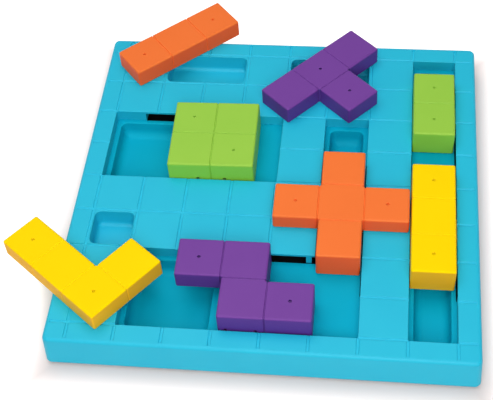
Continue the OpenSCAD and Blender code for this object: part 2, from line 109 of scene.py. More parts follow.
@dataclass(frozen=True)
class Outline:
    """A closed outline of right-angled corners, listed anticlockwise, in mm."""

    corners: tuple[Point, ...]

    @classmethod
    def rectangle(cls, low: Point, high: Point) -> "Outline":
        """The outline of an upright rectangle.

        Args:
            low: Its lower left corner.
            high: Its upper right corner.

        Returns:
            The outline.
        """
        return cls((low, (high[0], low[1]), high, (low[0], high[1])))

    @classmethod
    def of_squares(cls, squares: Iterable[Square], origin: float = 0.0) -> "Outline":
        """The outline round a connected set of grid squares.

        Args:
            squares: The squares' column and row numbers.
            origin: Number of squares from the grid's corner to the origin.

        Returns:
            The outline, with its corners alone.
        """
        filled = set(squares)
        steps: dict[Square, Square] = {}
        for x, y in filled:
            around = {
                (x, y - 1): ((x, y), (x + 1, y)),
                (x + 1, y): ((x + 1, y), (x + 1, y + 1)),
                (x, y + 1): ((x + 1, y + 1), (x, y + 1)),
                (x - 1, y): ((x, y + 1), (x, y)),
            }
            for neighbour, (start, end) in around.items():
                if neighbour not in filled:
                    steps[start] = end
        first = min(steps)
        loop = [first]
        while steps[loop[-1]] != first:
            loop.append(steps[loop[-1]])
        corners = []
        for i, (x, y) in enumerate(loop):
            before, after = loop[i - 1], loop[(i + 1) % len(loop)]
            if (x - before[0], y - before[1]) != (after[0] - x, after[1] - y):
                corners.append(((x - origin) * PITCH, (y - origin) * PITCH))
        return cls(tuple(corners))

    def ring(self, z: float, inset: float, outer_r: float, inner_r: float) -> list[Place]:
        """The outline at one height, drawn in and with its corners rounded.

        Args:
            z: Height of the ring.
            inset: How far the ring is drawn in from the outline.
            outer_r: Radius of the corners that point outwards.
            inner_r: Radius of the corners that point inwards.

        Returns:
            The ring's points.
        """
        points = []
        count = len(self.corners)
        for i, (x, y) in enumerate(self.corners):
            before, after = self.corners[i - 1], self.corners[(i + 1) % count]
            a = Vector((x - before[0], y - before[1])).normalized()
            b = Vector((after[0] - x, after[1] - y)).normalized()
            turns_left = a.x * b.y - a.y * b.x > 0
            r = max(outer_r if turns_left else inner_r, SMALLEST_RADIUS)
            corner = Vector((x - inset * (a.y + b.y), y + inset * (a.x + b.x)))
            centre = corner - r * a + r * b
            for k in range(ARC_STEPS + 1):
                t = math.pi / 2 * k / ARC_STEPS
                p = centre - b * (r * math.cos(t)) + a * (r * math.sin(t))
                points.append((p.x, p.y, z))
        return points

    def rings(self, section: Sequence[Point], inset: float, corner_r: float,
              inner_r: float = 0.4) -> list[list[Place]]:
        """The rings of a body whose wall follows a section.

        Args:
            section: Further inset and height of each ring.
            inset: Inset of the whole body.
            corner_r: Radius of the corners that point outwards.
            inner_r: Radius of the corners that point inwards.

        Returns:
            One ring for each point of the section.
        """
        return [self.ring(z, inset + s, corner_r - s, inner_r + s) for s, z in section]


def quarter(radius: float, steps: int = ROUND_STEPS) -> list[Point]:
    """Points of a quarter circle from (0, 0) up and inwards to (radius, radius).

    Args:
        radius: The circle's radius.
        steps: Number of straight steps.

    Returns:
        Pairs of inset and height.
    """
    angles = [math.pi / 2 * k / steps for k in range(steps + 1)]
    return [(radius * (1 - math.cos(t)), radius * math.sin(t)) for t in angles]


def block_section(low: float, high: float, low_r: float, high_r: float) -> list[Point]:
    """Section of a body with a rounded foot and a rounded top edge.

    Args:
        low: Height of the underside.
        high: Height of the top.
        low_r: Radius of the edge at the foot.
        high_r: Radius of the top edge.

    Returns:
        Pairs of inset and height, from the bottom up.
    """
    foot = [(s, low + low_r - h) for s, h in reversed(quarter(low_r, FOOT_STEPS))]
    top = [(s, high - high_r + h) for s, h in quarter(high_r)]
    return foot + top


def cavity_section(floor: float, rim: float, fillet: float, flare: float,
                   draft: float = 0.0) -> list[Point]:
    """Section of a hollow with a filleted floor and a rounded rim.

    Args:
        floor: Height of the hollow's floor.
        rim: Height of the surface that the hollow opens in.
        fillet: Radius between wall and floor.
        flare: Radius of the rim's rounded edge.
        draft: How far the wall leans in at the floor.

    Returns:
        Pairs of inset and height, from the floor to above the rim.
    """
    foot = [(draft + s, floor + fillet - h) for s, h in reversed(quarter(fillet))]
    top = [(-s, rim - flare + h) for s, h in quarter(flare)]
    return foot + top + [(-flare, rim + PAST)]


# --- solids ---


class Join(Enum):
    """How one solid is put together with another."""

    ADD = "UNION"
    CUT = "DIFFERENCE"


class Solid:
    """A closed shape under construction, in millimetres."""

    def __init__(self, shape: bmesh.types.BMesh) -> None:
        """Takes over a finished shape.

        Args:
            shape: The shape, which is freed here.
        """
        self.mesh = bpy.data.meshes.new("solid")
        shape.to_mesh(self.mesh)
        shape.free()

    @classmethod
    def loft(cls, rings: Sequence[Sequence[Place]]) -> "Solid":
        """A body through rings of equal point counts, closed at both ends.

        Args:
            rings: The rings from the bottom up, each anticlockwise from above.

        Returns:
            The solid.
        """
        shape = bmesh.new()
        levels = [[shape.verts.new(p) for p in ring] for ring in rings]
        for low, high in zip(levels, levels[1:]):
            for i, start in enumerate(low):
                j = (i + 1) % len(low)
                shape.faces.new((start, low[j], high[j], high[i]))
        shape.faces.new(reversed(levels[0]))
        shape.faces.new(levels[-1])
        return cls(shape)

    @classmethod
    def box(cls, low: Place, high: Place) -> "Solid":
        """A box between two corners."""
        outline = Outline.rectangle(low[:2], high[:2])
        return cls.loft([[(x, y, z) for x, y in outline.corners] for z in (low[2], high[2])])

    @classmethod
    def turned(cls, profile: Sequence[Point], centre: Point,
               sides: int = TURN_SIDES) -> "Solid":
        """A body of revolution about an upright axis.

        Args:
            profile: Radius and height of each ring, from the bottom up.
            centre: Where the axis stands.
            sides: Number of sides of each ring.

        Returns:
            The solid.
        """
        turns = [2 * math.pi * k / sides for k in range(sides)]
        return cls.loft([[(centre[0] + r * math.cos(t), centre[1] + r * math.sin(t), z)
                          for t in turns] for r, z in profile])

    @classmethod
    def rail(cls, profile: Sequence[Point], start: Place, end: Place) -> "Solid":
        """A level bar of constant section from one point to another.

        Args:
            profile: Distance across and height of each corner of the section.
            start: Where the bar begins.
            end: Where the bar ends.

        Returns:
            The solid.
        """
        along = (Vector(end) - Vector(start)).normalized()
        across = Vector((along.y, -along.x, 0))
        up = Vector((0, 0, 1))
        rings = [[tuple(Vector(p) + across * s + up * h) for s, h in profile]
                 for p in (end, start)]
        return cls.loft(rings).outwards()

    @classmethod
    def group(cls, solids: Iterable["Solid"]) -> "Solid":
        """Separate solids, clear of each other, as one.

        Args:
            solids: The solids, which are used up.

        Returns:
            All of them together.
        """
        shape = bmesh.new()
        for solid in solids:
            shape.from_mesh(solid.mesh)
            bpy.data.meshes.remove(solid.mesh)
        return cls(shape)

    def outwards(self) -> "Solid":
        """Turns every face's front to the outside.

        Returns:
            This solid.
        """
        shape = bmesh.new()
        shape.from_mesh(self.mesh)
        bmesh.ops.recalc_face_normals(shape, faces=shape.faces)
        shape.to_mesh(self.mesh)
        shape.free()
        return self

    def combine(self, other: "Solid", how: Join) -> "Solid":
        """Adds another solid to this one, or cuts it out of this one.

        Args:
            other: The other solid, which is used up.
            how: Whether it is added or cut.

        Returns:
            This solid.
        """
        objects = [bpy.data.objects.new(n, s.mesh) for n, s in (("a", self), ("b", other))]
        for made in objects:
            bpy.context.scene.collection.objects.link(made)
        modifier = objects[0].modifiers.new("combine", "BOOLEAN")
        modifier.operation = how.value
        modifier.solver = "MANIFOLD"
        modifier.object = objects[1]
        ready = objects[0].evaluated_get(bpy.context.evaluated_depsgraph_get())
        result = bpy.data.meshes.new_from_object(ready)
        for made in objects:
            bpy.data.objects.remove(made)
        bpy.data.meshes.remove(self.mesh)
        bpy.data.meshes.remove(other.mesh)
        self.mesh = result
        return self

    def plus(self, *others: "Solid") -> "Solid":
        """Adds other solids one after another.

        Args:
            others: The other solids, which are used up.

        Returns:
            This solid.
        """
        for other in others:
            self.combine(other, Join.ADD)
        return self

    def minus(self, *others: "Solid") -> "Solid":
        """Cuts other solids out one after another.

        Args:
            others: The other solids, which are used up.

        Returns:
            This solid.
        """
        for other in others:
            self.combine(other, Join.CUT)
        return self

    def placed(self, matrix: Matrix) -> "Solid":
        """Moves this solid by a matrix in millimetres."""
        self.mesh.transform(matrix)
        return self

    def piece(self, name: str) -> bpy.types.Object:
        """Makes this solid a piece of the scene, in metres and smoothly shaded.

        Args:
            name: The piece's name.

        Returns:
            The piece.
        """
        self.mesh.transform(Matrix.Scale(MM, 4))
        self.mesh.name = name
        self.mesh.polygons.foreach_set("use_smooth", [True] * len(self.mesh.polygons))
        self.mesh.set_sharp_from_angle(angle=SHARP_ANGLE)
        made = bpy.data.objects.new(name, self.mesh)
        bpy.context.scene.collection.objects.link(made)
        keep_flats_flat(made)
        return made


def keep_flats_flat(piece: bpy.types.Object) -> None:
    """Lets the large faces set the shading where they meet rounded edges.

    Args:
        piece: The piece that is shaded so.
    """
    weighted = piece.modifiers.new("flats", "WEIGHTED_NORMAL")
    weighted.keep_sharp = True
    weighted.weight = FLAT_WEIGHT


# --- shader groups ---


class Group:
    """A shader node group with named inputs and outputs."""

    def __init__(self, name: str, inputs: dict[str, float], outputs: Sequence[str]) -> None:
        """Makes an empty group.

        Args:
            name: The group's name.
            inputs: Name and default of each number that goes in.
            outputs: Name of each number that comes out.
        """
        self.tree = bpy.data.node_groups.new(name, "ShaderNodeTree")
        for label, value in inputs.items():
            socket = self.tree.interface.new_socket(
                label, in_out="INPUT", socket_type="NodeSocketFloat")
            socket.default_value = value
        for label in outputs:
            self.tree.interface.new_socket(
                label, in_out="OUTPUT", socket_type="NodeSocketFloat")
        self.wires = Wires(self.tree)
        self.given = self.tree.nodes.new("NodeGroupInput")
        self.result = self.tree.nodes.new("NodeGroupOutput")


class Wires:
    """Short ways to add nodes to a tree and join them up."""

    def __init__(self, tree: bpy.types.NodeTree) -> None:
        """Works on one node tree."""
        self.tree = tree

    def node(self, kind: str, **settings: object) -> bpy.types.Node:
        """Adds a node.

        Args:
            kind: The node's type.
            settings: Its properties, or its inputs' defaults under their names.

        Returns:
            The node.
        """
        made = self.tree.nodes.new(kind)
        for label, value in settings.items():
            if hasattr(made, label):
                setattr(made, label, value)
            else:
                made.inputs[label].default_value = value
        return made

    def link(self, start: bpy.types.NodeSocket, end: bpy.types.NodeSocket) -> None:
        """Joins an output to an input."""
        self.tree.links.new(start, end)

    def maths(self, operation: str, *terms: object, clamp: bool = False) -> bpy.types.NodeSocket:
        """Adds a sum, product or other operation.

        Args:
            operation: The operation's name.
            terms: Numbers, or outputs to take them from.
            clamp: Whether the result is kept between 0 and 1.

        Returns:
            The result's output.
        """
        made = self.node("ShaderNodeMath", operation=operation, use_clamp=clamp)
        for socket, term in zip(made.inputs, terms):
            if isinstance(term, bpy.types.NodeSocket):
                self.link(term, socket)
            else:
                socket.default_value = term
        return made.outputs[0]

    def blend(self, share: bpy.types.NodeSocket, first: object,
              second: object) -> bpy.types.NodeSocket:
        """Mixes two colours.

        Args:
            share: How much of the second shows.
            first: The first colour, or the output that gives it.
            second: The second colour, or the output that gives it.

        Returns:
            The mixed colour's output.
        """
        made = self.node("ShaderNodeMix", data_type="RGBA")
        self.link(share, made.inputs["Factor"])
        for number, colour in zip(MIX_INPUTS, (first, second)):
            socket = made.inputs[number]
            if isinstance(colour, bpy.types.NodeSocket):
                self.link(colour, socket)
            else:
                socket.default_value = (*colour, 1.0)
        return made.outputs[MIX_OUTPUT]

    def scaled_place(self, size: object, stretch: Place = (1, 1, 1),
                     turn: Place = (0, 0, 0)) -> bpy.types.NodeSocket:
        """The surface's own place, counted in units of a size.

        Args:
            size: The unit's length in metres, or the output that gives it.
            stretch: Further factor along each axis.
            turn: Turn about each axis, in radians.

        Returns:
            The place's output.
        """
        place = self.node("ShaderNodeTexCoord").outputs["Object"]
        mapping = self.node("ShaderNodeMapping")
        mapping.inputs["Rotation"].default_value = turn
        mapping.inputs["Scale"].default_value = stretch
        self.link(place, mapping.inputs["Vector"])
        scaled = self.node("ShaderNodeVectorMath", operation="SCALE")
        self.link(mapping.outputs["Vector"], scaled.inputs[0])
        self.link(self.maths("DIVIDE", 1.0, size), scaled.inputs["Scale"])
        return scaled.outputs[0]

    def noise(self, place: bpy.types.NodeSocket, detail: float = 2.0,
              roughness: float = 0.5) -> bpy.types.NodeSocket:
        """Soft random values at a place.

        Args:
            place: Where the value is taken.
            detail: Number of finer layers.
            roughness: Strength of the finer layers.

        Returns:
            The value's output, from 0 to 1.
        """
        made = self.node("ShaderNodeTexNoise", Detail=detail, Roughness=roughness)
        made.inputs["Scale"].default_value = 1.0
        self.link(place, made.inputs["Vector"])
        return made.outputs["Fac"]

    def ramp(self, value: bpy.types.NodeSocket, low: float,
             high: float) -> bpy.types.NodeSocket:
        """Spreads the values between two bounds over 0 to 1, smoothly.

        Args:
            value: The output that is read.
            low: The value that becomes 0.
            high: The value that becomes 1.

        Returns:
            The result's output.
        """
        made = self.node("ShaderNodeMapRange", interpolation_type="SMOOTHSTEP")
        made.inputs["From Min"].default_value = low
        made.inputs["From Max"].default_value = high
        self.link(value, made.inputs["Value"])
        return made.outputs["Result"]


@dataclass
class Effects:
    """The shader effects that several finishes share.

    Attributes:
        cloud: Bounds of the noise that the mottling shows.
        edge: Bounds of the bend that counts as an edge.
        broken: Bounds of the noise that breaks the rub up.
        line: Bounds of the noise that shows as scuffs.
        patch: Bounds of the noise that gathers the scuffs.
        upright: Bounds of the steepness that counts as a side, for the painted side shade.
        closed: Bounds of the closeness that counts as a hollow, for the painted hollow shade.
        turns: Turns of the two sets of scuffs, in radians.
        stretch: Factor along each axis that draws the scuffs out.
        detail: Number of finer layers in the fine noises.
        crispness: Strength of those layers.
        bend_samples: Rays that find an edge.
        depth_samples: Rays that find a hollow.
    """

    cloud: Point = (0.3, 0.7)
    edge: Point = (0.01, 0.16)
    broken: Point = (0.25, 0.75)
    line: Point = (0.66, 0.74)
    patch: Point = (0.4, 0.7)
    upright: Point = (0.45, 0.9)
    closed: Point = (0.4, 0.75)
    turns: Point = (0.5, -0.9)
    stretch: Place = (1.0, 0.02, 1.0)
    detail: float = 3.0
    crispness: float = 0.6
    bend_samples: int = 4
    depth_samples: int = 6

    def __post_init__(self) -> None:
        """Builds each effect's node group once."""
        self.skin = self._skin()
        self.rub = self._rub()
        self.marks = self._marks()
        # The sides mask carries the painted side shade.
        self.sides = self._build_painted_side_shade()
        # The hollows mask carries the painted shade in dimples, seams and other narrow hollows.
        self.hollows = self._build_painted_hollow_shade()

    def _skin(self) -> bpy.types.NodeTree:
        """The fine texture of a mould's surface, and faint flow mottling.

        Returns:
            The effect's node group.
        """
        group = Group("moulded_skin", {"Grain size": 0.0005, "Mottle size": 0.03},
                      ("Height", "Mottle"))
        wires = group.wires
        grain = wires.noise(wires.scaled_place(group.given.outputs["Grain size"]),
                            self.detail, self.crispness)
        mottle = wires.noise(wires.scaled_place(group.given.outputs["Mottle size"]), self.detail)
        wires.link(grain, group.result.inputs["Height"])
        wires.link(wires.ramp(mottle, *self.cloud), group.result.inputs["Mottle"])
        return group.tree

    def _rub(self) -> bpy.types.NodeTree:
        """A mask of the edges that hands and teeth rub, broken up by noise.

        Returns:
            The effect's node group.
        """
        group = Group("edge_rub", {"Width": 0.0012, "Breakup size": 0.006}, ("Mask",))
        wires = group.wires
        softened = wires.node("ShaderNodeBevel", samples=self.bend_samples)
        wires.link(group.given.outputs["Width"], softened.inputs["Radius"])
        facing = wires.node("ShaderNodeVectorMath", operation="DOT_PRODUCT")
        wires.link(softened.outputs["Normal"], facing.inputs[0])
        wires.link(wires.node("ShaderNodeNewGeometry").outputs["Normal"], facing.inputs[1])
        bend = wires.ramp(wires.maths("SUBTRACT", 1.0, facing.outputs["Value"]), *self.edge)
        spots = wires.noise(wires.scaled_place(group.given.outputs["Breakup size"]),
                            self.detail, self.crispness)
        mask = wires.maths("MULTIPLY", bend, wires.ramp(spots, *self.broken), clamp=True)
        wires.link(mask, group.result.inputs["Mask"])
        return group.tree

    def _marks(self) -> bpy.types.NodeTree:
        """Hairline scuffs in two directions, gathered in patches.

        Returns:
            The effect's node group.
        """
        group = Group("hairline_marks", {"Line size": 0.0006, "Patch size": 0.05}, ("Mask",))
        wires = group.wires
        size = group.given.outputs["Line size"]
        lines = []
        for turn in self.turns:
            place = wires.scaled_place(size, self.stretch, (0.0, 0.0, turn))
            lines.append(wires.ramp(wires.noise(place, 1.0), *self.line))
        both = wires.maths("MAXIMUM", *lines)
        gathered = wires.noise(wires.scaled_place(group.given.outputs["Patch size"]))
        mask = wires.maths("MULTIPLY", both, wires.ramp(gathered, *self.patch), clamp=True)
        wires.link(mask, group.result.inputs["Mask"])
        return group.tree

    def _build_painted_side_shade(self) -> bpy.types.NodeTree:
        """A mask of the upright sides, where a deeper colour is painted as the shade they get
        from the lamps.

        Returns:
            The effect's node group.
        """
        group = Group("side_colour_painted_as_shade", {"Share": 0.9}, ("Mask",))
        wires = group.wires
        way = wires.node("ShaderNodeSeparateXYZ")
        wires.link(wires.node("ShaderNodeTexCoord").outputs["Normal"], way.inputs[0])
        level = wires.maths("ABSOLUTE", way.outputs["Z"])
        steep = wires.ramp(wires.maths("SUBTRACT", 1.0, level), *self.upright)
        share = wires.maths("MULTIPLY", steep, group.given.outputs["Share"], clamp=True)
        wires.link(share, group.result.inputs["Mask"])
        return group.tree

    def _build_painted_hollow_shade(self) -> bpy.types.NodeTree:
        """A mask of the narrow hollows, where shade is painted.

        Returns:
            The effect's node group.
        """
        group = Group("hollow_colour_painted_as_shade", {"Reach": 0.003, "Share": 1.0}, ("Mask",))
        wires = group.wires
        opening = wires.node("ShaderNodeAmbientOcclusion", samples=self.depth_samples,
                             only_local=True)
        wires.link(group.given.outputs["Reach"], opening.inputs["Distance"])
        narrow = wires.ramp(wires.maths("SUBTRACT", 1.0, opening.outputs["AO"]), *self.closed)
        share = wires.maths("MULTIPLY", narrow, group.given.outputs["Share"], clamp=True)
        wires.link(share, group.result.inputs["Mask"])
        return group.tree


# --- finishes ---


class Finish:
    """A material for pieces made of one stuff."""

    name: str
    slot: str

    def material(self, effects: Effects) -> bpy.types.Material:
        """Builds the material, or gives the one built before."""
        return bpy.data.materials.get(self.name) or self.build(effects)

    def build(self, effects: Effects) -> bpy.types.Material:
        """Builds the material."""
        raise NotImplementedError

    def start(self) -> tuple[bpy.types.Material, Wires, bpy.types.Node]:
        """An empty material with its surface shader.

        Returns:
            The material, its wires and its Principled BSDF.
        """
        made = bpy.data.materials.new(self.name)
        made.use_nodes = True
        wires = Wires(made.node_tree)
        return made, wires, made.node_tree.nodes["Principled BSDF"]

    @staticmethod
    def place_group(wires: Wires, tree: bpy.types.NodeTree, **values: float) -> bpy.types.Node:
        """Places a shared effect in a material.

        Args:
            wires: The material's wires.
            tree: The effect's node group.
            values: The effect's inputs, with _ for a space in their names.

        Returns:
            The group's node.
        """
        made = wires.node("ShaderNodeGroup")
        made.node_tree = tree
        for label, value in values.items():
            made.inputs[label.replace("_", " ")].default_value = value
        return made

    @staticmethod
    def add_relief(wires: Wires, shader: bpy.types.Node, height: bpy.types.NodeSocket,
                   strength: float, depth: float) -> None:
        """Gives the surface a fine relief.

        Args:
            wires: The material's wires.
            shader: The material's Principled BSDF.
            height: The output that gives the relief's height.
            strength: How strongly the relief shows.
            depth: Height in metres between its lowest and highest points.
        """
        bump = wires.node("ShaderNodeBump", Strength=strength, Distance=depth)
        wires.link(height, bump.inputs["Height"])
        wires.link(bump.outputs["Normal"], shader.inputs["Normal"])


@dataclass(frozen=True)
class MouldedPlastic(Finish):
    """Coloured plastic with a fine satin skin, mottled and rubbed a little, with painted shade on
    its upright sides and in its narrow hollows where those colours are given.

    Attributes:
        name: The material's name.
        slot: The material slot of the frame.
        colour: Colour of most of the surface.
        pale: Colour of the rubbed edges.
        deep: Colour that the mottling leans to.
        gleam: Tint of the gloss.
        side: Colour painted on the upright sides as their shade, where it differs.
        hollow: Colour painted in the narrow hollows as their shade, where it differs.
        roughness: Least roughness of the skin.
        gloss: Strength of the gloss.
        grain_size: Size of the skin's grain in metres.
        mottle_size: Size of the mottling in metres.
        mottle: Share of the deep colour in the mottling.
        wear_width: Width of the rubbed edges in metres.
        wear: Share of the pale colour on the edges.
        blur: Roughness that the mottling adds.
        scuff: Roughness that the scuffs add.
        scuff_depth: Depth of the scuffs, as a share of the grain's.
        relief: Strength of the skin's relief.
        relief_depth: Depth of the skin's relief in metres.
    """

    name: str
    slot: str
    colour: Colour
    pale: Colour
    deep: Colour
    gleam: Colour
    side: Colour | None = None
    hollow: Colour | None = None
    roughness: float = 0.44
    gloss: float = 0.30
    grain_size: float = 0.0004
    mottle_size: float = 0.035
    mottle: float = 0.5
    wear_width: float = 0.0011
    wear: float = 0.45
    blur: float = 0.06
    scuff: float = 0.12
    scuff_depth: float = 0.4
    relief: float = 0.22
    relief_depth: float = 0.00006

    def build(self, effects: Effects) -> bpy.types.Material:
        """Builds the material.

        Args:
            effects: The shared shader effects.

        Returns:
            The material.
        """
        made, wires, shader = self.start()
        skin = self.place_group(wires, effects.skin, Grain_size=self.grain_size,
                                Mottle_size=self.mottle_size)
        rub = self.place_group(wires, effects.rub, Width=self.wear_width)
        marks = self.place_group(wires, effects.marks)
        mottled = wires.maths("MULTIPLY", skin.outputs["Mottle"], self.mottle)
        base = wires.blend(mottled, self.colour, self.deep)
        # Painted shade: upright faces take the side colour, a deeper and more saturated version
        # of the top's, in place of the shade they get from the lamps.
        if self.side:
            upright = self.place_group(wires, effects.sides)
            base = wires.blend(upright.outputs["Mask"], base, self.side)
        # Painted shade: dimples, seams and other narrow hollows take the darker hollow colour by
        # how closed in they are.
        if self.hollow:
            hollows = self.place_group(wires, effects.hollows)
            base = wires.blend(hollows.outputs["Mask"], base, self.hollow)
        worn = wires.maths("MULTIPLY", rub.outputs["Mask"], self.wear)
        wires.link(wires.blend(worn, base, self.pale), shader.inputs["Base Color"])
        dulled = wires.maths("MULTIPLY_ADD", skin.outputs["Mottle"], self.blur, self.roughness)
        dulled = wires.maths("MULTIPLY_ADD", marks.outputs["Mask"], self.scuff, dulled)
        wires.link(dulled, shader.inputs["Roughness"])
        shader.inputs["Specular IOR Level"].default_value = self.gloss
        shader.inputs["Specular Tint"].default_value = (*self.gleam, 1.0)
        height = wires.maths("MULTIPLY_ADD", marks.outputs["Mask"], -self.scuff_depth,
                             skin.outputs["Height"])
        self.add_relief(wires, shader, height, self.relief, self.relief_depth)
        return made


@dataclass(frozen=True)
class PlatedSteel(Finish):
    """Bright zinc-plated steel, dulled in spots. Sizes are in metres."""

    name: str = "zinc_plated_steel"
    slot: str = "screw_steel"
    colour: Colour = (0.55, 0.55, 0.57)
    dull: Colour = (0.30, 0.30, 0.31)
    grain_size: float = 0.0003
    mottle_size: float = 0.003
    line_size: float = 0.0002
    patch_size: float = 0.004
    roughness: float = 0.28
    scuff: float = 0.25
    relief: float = 0.2
    relief_depth: float = 0.00003

    def build(self, effects: Effects) -> bpy.types.Material:
        """Builds the material.

        Args:
            effects: The shared shader effects.

        Returns:
            The material.
        """
        made, wires, shader = self.start()
        skin = self.place_group(wires, effects.skin, Grain_size=self.grain_size,
                                Mottle_size=self.mottle_size)
        marks = self.place_group(wires, effects.marks, Line_size=self.line_size,
                                 Patch_size=self.patch_size)
        wires.link(wires.blend(skin.outputs["Mottle"], self.colour, self.dull),
                   shader.inputs["Base Color"])
        shader.inputs["Metallic"].default_value = 1.0
        dulled = wires.maths("MULTIPLY_ADD", marks.outputs["Mask"], self.scuff, self.roughness)
        wires.link(dulled, shader.inputs["Roughness"])
        self.add_relief(wires, shader, skin.outputs["Height"], self.relief, self.relief_depth)
        return made


@dataclass(frozen=True)
class FootRubber(Finish):
    """Dark soft rubber with a matt, dusty skin. Sizes are in metres."""

    name: str = "dark_foot_rubber"
    slot: str = "foot_rubber"
    colour: Colour = (0.018, 0.018, 0.020)
    dust: Colour = (0.060, 0.058, 0.055)
    grain_size: float = 0.0005
    mottle_size: float = 0.005
    wear_width: float = 0.0008
    dustiness: float = 0.5
    roughness: float = 0.8
    relief: float = 0.5
    relief_depth: float = 0.0001

    def build(self, effects: Effects) -> bpy.types.Material:
        """Builds the material.

        Args:
            effects: The shared shader effects.

        Returns:
            The material.
        """
        made, wires, shader = self.start()
        skin = self.place_group(wires, effects.skin, Grain_size=self.grain_size,
                                Mottle_size=self.mottle_size)
        rub = self.place_group(wires, effects.rub, Width=self.wear_width)
        settled = wires.maths("MULTIPLY", skin.outputs["Mottle"], self.dustiness)
        dusty = wires.maths("MAXIMUM", rub.outputs["Mask"], settled)
        wires.link(wires.blend(dusty, self.colour, self.dust), shader.inputs["Base Color"])
        shader.inputs["Roughness"].default_value = self.roughness
        self.add_relief(wires, shader, skin.outputs["Height"], self.relief, self.relief_depth)
        return made


TRAY_BLUE = MouldedPlastic(
    "tray_blue_plastic", "tray_blue",
    colour=(0.010, 0.460, 0.640), pale=(0.06, 0.56, 0.73), deep=(0.010, 0.430, 0.615),
    gleam=(0.90, 1.0, 1.0))
# Painted shade: the well moulding, ledge and treat wells, is a darker blue than the deck and
# stands in for the shade inside the recesses.
WELL_BLUE_PAINTED_SHADE = MouldedPlastic(
    "well_blue_painted_shade_plastic", "tray_blue",
    colour=(0.001, 0.370, 0.530), pale=(0.02, 0.46, 0.63), deep=(0.001, 0.350, 0.510),
    gleam=(0.30, 0.95, 1.0), roughness=0.5, gloss=0.15)
# Painted shade: the base cover is made charcoal so that the tray's inside, seen through the
# slots, shows as dark shade.
COVER_CHARCOAL_PAINTED_SHADE = MouldedPlastic(
    "charcoal_painted_shade_plastic", "cover_charcoal",
    colour=(0.014, 0.015, 0.017), pale=(0.05, 0.05, 0.055), deep=(0.011, 0.012, 0.014),
    gleam=(1.0, 1.0, 1.0), gloss=0.2)
# The side and hollow colours below are painted shade: side on the upright faces, hollow in the
# dimples, seams and other narrow hollows.
BLOCK_GREEN = MouldedPlastic(
    "green_plastic", "block_green",
    colour=(0.282, 0.532, 0.050), pale=(0.38, 0.63, 0.11), deep=(0.262, 0.512, 0.046),
    side=(0.250, 0.610, 0.056), hollow=(0.250, 0.440, 0.040), gleam=(0.90, 1.0, 0.80))
BLOCK_PURPLE = MouldedPlastic(
    "purple_plastic", "block_purple",
    colour=(0.152, 0.043, 0.283), pale=(0.24, 0.10, 0.41), deep=(0.142, 0.040, 0.266),
    side=(0.092, 0.030, 0.250), hollow=(0.032, 0.005, 0.095), gleam=(1.0, 0.90, 1.0),
    gloss=0.2)
BLOCK_ORANGE = MouldedPlastic(
    "orange_plastic", "block_orange",
    colour=(0.840, 0.168, 0.030), pale=(0.92, 0.25, 0.07), deep=(0.810, 0.158, 0.028),
    side=(0.980, 0.118, 0.027), hollow=(0.760, 0.158, 0.026), gleam=(1.0, 0.95, 0.80),
    gloss=0.2)
BLOCK_YELLOW = MouldedPlastic(
    "yellow_plastic", "block_yellow",
    colour=(0.930, 0.640, 0.001), pale=(0.98, 0.75, 0.02), deep=(0.900, 0.610, 0.001),
    side=(0.930, 0.450, 0.018), hollow=(0.720, 0.570, 0.001), gleam=(1.0, 0.85, 0.10),
    gloss=0.15)
STEEL = PlatedSteel()
RUBBER = FootRubber()


def dress(piece: bpy.types.Object, finish: Finish, effects: Effects) -> None:
    """Gives a piece one finish all over.

    Args:
        piece: The piece.
        finish: Its finish.
        effects: The shared shader effects.
    """
    piece.data.materials.clear()
    piece.data.materials.append(finish.material(effects))


def dress_node(name: str, finish: Finish, effects: Effects, edge: float) -> None:
    """Dresses a solid of the frame, with its edges broken by a small bevel.

    Args:
        name: The solid's name in the frame.
        finish: Its finish.
        effects: The shared shader effects.
        edge: Width of the bevel in mm.
    """
    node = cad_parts[name]
    dress(node, finish, effects)
    node.data.polygons.foreach_set("use_smooth", [True] * len(node.data.polygons))
    weld = node.modifiers.new("weld", "WELD")
    weld.merge_threshold = WELD_GAP * MM
    bevel = node.modifiers.new("edges", "BEVEL")
    bevel.width = edge * MM
    bevel.segments = 2
    bevel.limit_method = "ANGLE"
    bevel.angle_limit = SHARP_ANGLE
    bevel.use_clamp_overlap = True
    keep_flats_flat(node)
    log.info("dressed %s in %s", name, finish.name)


# --- the tray ---


